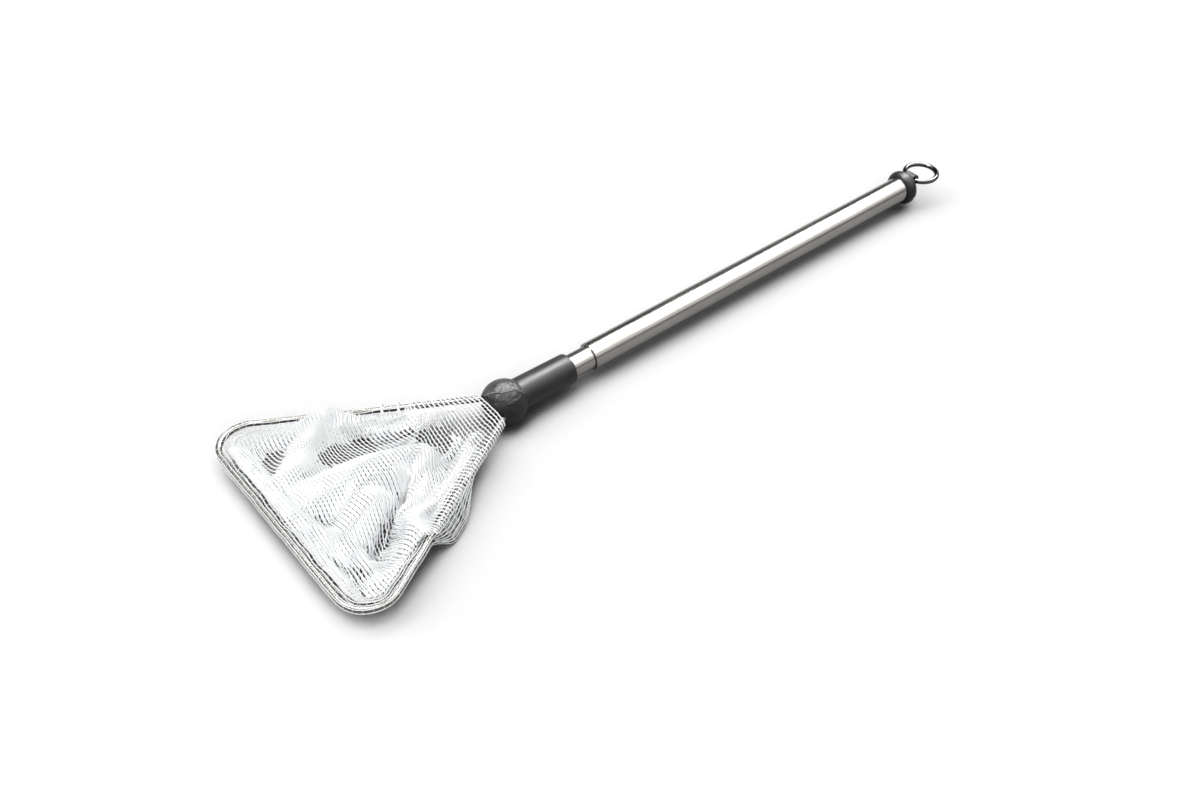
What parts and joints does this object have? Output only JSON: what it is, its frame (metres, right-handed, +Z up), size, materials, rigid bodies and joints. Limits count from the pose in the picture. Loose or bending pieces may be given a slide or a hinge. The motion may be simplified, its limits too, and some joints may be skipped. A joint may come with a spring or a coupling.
{
  "type": "aquarium fish net",
  "caption": "Hand net with a telescopic steel tube handle, black end fittings, a hanging ring and a triangular wire hoop that carries a fine-mesh bag.",
  "frame": {"origin": "middle of the part's bounding box, on the table that it lies on", "axes": "+X along the handle from the net to the ring, +Z up from the table, Y across the hoop"},
  "size_m": [0.3626, 0.1128, 0.0194],
  "materials": {
    "tube_steel": "polished",
    "wire_steel": "drawn wire",
    "ring_steel": "polished",
    "black_gloss": "gloss",
    "black_rubber": "satin",
    "inner_plastic": "moulded",
    "net": "knitted mesh"
  },
  "bodies": {
    "handle": {"outer_tube": "tube_steel", "end_cap": "black_gloss"},
    "slider": {"friction_bush": "inner_plastic"},
    "head": {"inner_tube": "tube_steel", "base_plug": "inner_plastic", "sleeve": "black_gloss", "ball": "black_rubber", "leg_plug": "inner_plastic", "hoop": "wire_steel", "hem": "net", "net_bag": "net", "net_fold": "net", "hem_stitching": "net", "tie_threads": "net"},
    "ring": {"hang_ring": "ring_steel"}
  },
  "joints": [
    {"name": "telescope_slide", "type": "slide", "parent": "handle", "child": "slider", "axis": [-1, 0, 0], "range_m": [0, 0.16695]},
    {"name": "telescope_turn", "type": "hinge", "parent": "slider", "child": "head", "pos_m": [-0.07739, 0, 0.0097], "axis": [1, 0, 0], "continuous": true},
    {"name": "ring_swing", "type": "hinge", "parent": "handle", "child": "ring", "pos_m": [0.16487, 0, 0.0125], "axis": [0, 1, 0], "range_deg": [-90, 90]}
  ]
}
